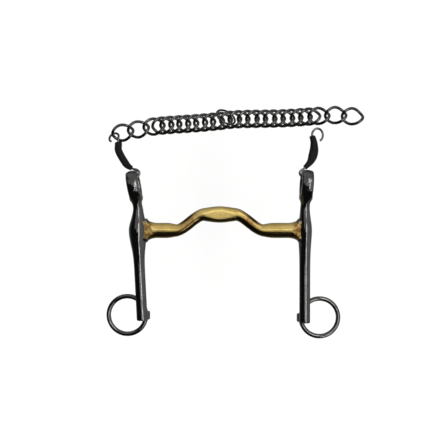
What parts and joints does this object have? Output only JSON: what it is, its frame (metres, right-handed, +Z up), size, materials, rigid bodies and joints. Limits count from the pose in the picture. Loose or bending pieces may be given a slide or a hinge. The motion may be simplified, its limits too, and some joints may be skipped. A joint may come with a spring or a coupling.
{
  "type": "curb bit",
  "caption": "Curb bit with a low-port mouthpiece, fixed cheeks, rein rings, sleeved curb hooks and a double-link curb chain.",
  "frame": {"origin": "under the middle of the whole object, on the surface that it lies on", "axes": "+X across the bit from its left cheek to its right, +Y from the shanks to the eyes and chain, +Z up out of the surface"},
  "size_m": [0.2174, 0.196, 0.0249],
  "materials": {
    "gold_alloy": "polished",
    "polished_steel": "polished",
    "ring_steel": "polished",
    "hook_steel": "polished",
    "chain_steel": "tumbled",
    "black_rubber": "matt, with fine lengthwise streaks"
  },
  "bodies": {
    "bit": {"mouthpiece": "gold_alloy", "cheek_left": "polished_steel", "cheek_right": "polished_steel"},
    "rein_ring_left": {"rein_ring_left": "ring_steel"},
    "rein_ring_right": {"rein_ring_right": "ring_steel"},
    "curb_hook_left": {"curb_hook_left": "hook_steel", "hook_sleeve_left": "black_rubber"},
    "curb_hook_right": {"curb_hook_right": "hook_steel", "hook_sleeve_right": "black_rubber"},
    "chain_left_1": {"chain_left_1": "chain_steel"},
    "chain_left_2": {"chain_left_2": "chain_steel"},
    "chain_left_3": {"chain_left_3": "chain_steel"},
    "chain_mesh_01": {"chain_mesh_01": "chain_steel"},
    "chain_mesh_02": {"chain_mesh_02": "chain_steel"},
    "chain_mesh_03": {"chain_mesh_03": "chain_steel"},
    "chain_mesh_04": {"chain_mesh_04": "chain_steel"},
    "chain_mesh_05": {"chain_mesh_05": "chain_steel"},
    "chain_mesh_06": {"chain_mesh_06": "chain_steel"},
    "chain_mesh_07": {"chain_mesh_07": "chain_steel"},
    "chain_mesh_08": {"chain_mesh_08": "chain_steel"},
    "chain_mesh_09": {"chain_mesh_09": "chain_steel"},
    "chain_mesh_10": {"chain_mesh_10": "chain_steel"},
    "chain_mesh_11": {"chain_mesh_11": "chain_steel"},
    "chain_mesh_12": {"chain_mesh_12": "chain_steel"},
    "chain_mesh_13": {"chain_mesh_13": "chain_steel"},
    "chain_mesh_14": {"chain_mesh_14": "chain_steel"},
    "chain_mesh_15": {"chain_mesh_15": "chain_steel"},
    "chain_mesh_16": {"chain_mesh_16": "chain_steel"},
    "chain_mesh_17": {"chain_mesh_17": "chain_steel"},
    "chain_mesh_18": {"chain_mesh_18": "chain_steel"},
    "chain_right_1": {"chain_right_1": "chain_steel"},
    "chain_right_2": {"chain_right_2": "chain_steel"},
    "chain_right_3": {"chain_right_3": "chain_steel"},
    "fly_link": {"fly_link": "chain_steel"}
  },
  "joints": [
    {"name": "rein_ring_left_turn", "type": "hinge", "parent": "bit", "child": "rein_ring_left", "pos_m": [-0.07523, -0.07821, 0.0037], "axis": [0, -1, 0], "range_deg": [0, 185]},
    {"name": "rein_ring_right_turn", "type": "hinge", "parent": "bit", "child": "rein_ring_right", "pos_m": [0.05539, -0.08021, 0.0037], "axis": [0, 1, 0], "range_deg": [0, 185]},
    {"name": "curb_hook_left_swing", "type": "hinge", "parent": "bit", "child": "curb_hook_left", "pos_m": [-0.08415, 0.03039, 0.0125], "axis": [0.9848, 0.1736, 0], "range_deg": [0, 110]},
    {"name": "curb_hook_right_swing", "type": "hinge", "parent": "bit", "child": "curb_hook_right", "pos_m": [0.0591, 0.03099, 0.0125], "axis": [0.9978, -0.0663, 0], "range_deg": [-90, 115]},
    {"name": "chain_left_1_swing", "type": "hinge", "parent": "curb_hook_left", "child": "chain_left_1", "pos_m": [-0.10203, 0.0713, 0.00349], "axis": [-0.1904, 0.9817, 0], "range_deg": [-15, 15]},
    {"name": "chain_left_2_swing", "type": "hinge", "parent": "chain_left_1", "child": "chain_left_2", "pos_m": [-0.08798, 0.07686, 0.00367], "axis": [-0.1977, 0.9803, 0], "range_deg": [-25, 25]},
    {"name": "chain_left_3_swing", "type": "hinge", "parent": "chain_left_2", "child": "chain_left_3", "pos_m": [-0.07488, 0.07941, 0.00367], "axis": [-0.1703, 0.9854, 0], "range_deg": [-25, 25]},
    {"name": "chain_mesh_01_swing", "type": "hinge", "parent": "chain_left_3", "child": "chain_mesh_01", "pos_m": [-0.06457, 0.081, 0.00367], "axis": [-0.1138, 0.9935, 0], "range_deg": [-6, 6]},
    {"name": "chain_mesh_02_swing", "type": "hinge", "parent": "chain_mesh_01", "child": "chain_mesh_02", "pos_m": [-0.05749, 0.08169, 0.00367], "axis": [-0.0823, 0.9966, 0], "range_deg": [-6, 6]},
    {"name": "chain_mesh_03_swing", "type": "hinge", "parent": "chain_mesh_02", "child": "chain_mesh_03", "pos_m": [-0.05038, 0.08221, 0.00367], "axis": [-0.0675, 0.9977, 0], "range_deg": [-6, 6]},
    {"name": "chain_mesh_04_swing", "type": "hinge", "parent": "chain_mesh_03", "child": "chain_mesh_04", "pos_m": [-0.04328, 0.08267, 0.00367], "axis": [-0.063, 0.998, 0], "range_deg": [-6, 6]},
    {"name": "chain_mesh_05_swing", "type": "hinge", "parent": "chain_mesh_04", "child": "chain_mesh_05", "pos_m": [-0.03617, 0.08315, 0.00367], "axis": [-0.0731, 0.9973, 0], "range_deg": [-6, 6]},
    {"name": "chain_mesh_06_swing", "type": "hinge", "parent": "chain_mesh_05", "child": "chain_mesh_06", "pos_m": [-0.02908, 0.08369, 0.00367], "axis": [-0.0829, 0.9966, 0], "range_deg": [-6, 6]},
    {"name": "chain_mesh_07_swing", "type": "hinge", "parent": "chain_mesh_06", "child": "chain_mesh_07", "pos_m": [-0.02198, 0.0843, 0.00367], "axis": [-0.0884, 0.9961, 0], "range_deg": [-6, 6]},
    {"name": "chain_mesh_08_swing", "type": "hinge", "parent": "chain_mesh_07", "child": "chain_mesh_08", "pos_m": [-0.0149, 0.085, 0.00367], "axis": [-0.113, 0.9936, 0], "range_deg": [-6, 6]},
    {"name": "chain_mesh_09_swing", "type": "hinge", "parent": "chain_mesh_08", "child": "chain_mesh_09", "pos_m": [-0.00767, 0.08584, 0.00367], "axis": [-0.1115, 0.9938, 0], "range_deg": [-6, 6]},
    {"name": "chain_mesh_10_swing", "type": "hinge", "parent": "chain_mesh_09", "child": "chain_mesh_10", "pos_m": [-0.00028, 0.08653, 0.00367], "axis": [-0.065, 0.9979, 0], "range_deg": [-6, 6]},
    {"name": "chain_mesh_11_swing", "type": "hinge", "parent": "chain_mesh_10", "child": "chain_mesh_11", "pos_m": [0.00714, 0.08685, 0.00367], "axis": [-0.0294, 0.9996, 0], "range_deg": [-6, 6]},
    {"name": "chain_mesh_12_swing", "type": "hinge", "parent": "chain_mesh_11", "child": "chain_mesh_12", "pos_m": [0.01457, 0.08701, 0.00367], "axis": [-0.0167, 0.9999, 0], "range_deg": [-6, 6]},
    {"name": "chain_mesh_13_swing", "type": "hinge", "parent": "chain_mesh_12", "child": "chain_mesh_13", "pos_m": [0.022, 0.08712, 0.00367], "axis": [-0.0142, 0.9999, 0], "range_deg": [-6, 6]},
    {"name": "chain_mesh_14_swing", "type": "hinge", "parent": "chain_mesh_13", "child": "chain_mesh_14", "pos_m": [0.02943, 0.08724, 0.00367], "axis": [-0.0181, 0.9998, 0], "range_deg": [-6, 6]},
    {"name": "chain_mesh_15_swing", "type": "hinge", "parent": "chain_mesh_14", "child": "chain_mesh_15", "pos_m": [0.03686, 0.08742, 0.00367], "axis": [-0.0314, 0.9995, 0], "range_deg": [-6, 6]},
    {"name": "chain_mesh_16_swing", "type": "hinge", "parent": "chain_mesh_15", "child": "chain_mesh_16", "pos_m": [0.04428, 0.08772, 0.00367], "axis": [-0.0518, 0.9987, 0], "range_deg": [-6, 6]},
    {"name": "chain_mesh_17_swing", "type": "hinge", "parent": "chain_mesh_16", "child": "chain_mesh_17", "pos_m": [0.0517, 0.08818, 0.00367], "axis": [-0.0688, 0.9976, 0], "range_deg": [-6, 6]},
    {"name": "chain_mesh_18_swing", "type": "hinge", "parent": "chain_mesh_17", "child": "chain_mesh_18", "pos_m": [0.05911, 0.08872, 0.00367], "axis": [-0.0757, 0.9971, 0], "range_deg": [-6, 6]},
    {"name": "chain_right_1_swing", "type": "hinge", "parent": "chain_mesh_18", "child": "chain_right_1", "pos_m": [0.06652, 0.08926, 0.00367], "axis": [-0.0676, 0.9977, 0], "range_deg": [-6, 6]},
    {"name": "chain_right_2_swing", "type": "hinge", "parent": "chain_right_1", "child": "chain_right_2", "pos_m": [0.07751, 0.08987, 0.00367], "axis": [-0.0291, 0.9996, 0], "range_deg": [-25, 25]},
    {"name": "chain_right_3_swing", "type": "hinge", "parent": "chain_right_2", "child": "chain_right_3", "pos_m": [0.09168, 0.0897, 0.00367], "axis": [0.0442, 0.999, 0], "range_deg": [-25, 25]},
    {"name": "fly_link_swing", "type": "hinge", "parent": "chain_mesh_09", "child": "fly_link", "pos_m": [-0.00582, 0.09092, 0.00312], "axis": [0.8231, -0.5678, 0], "range_deg": [-4, 4]}
  ]
}
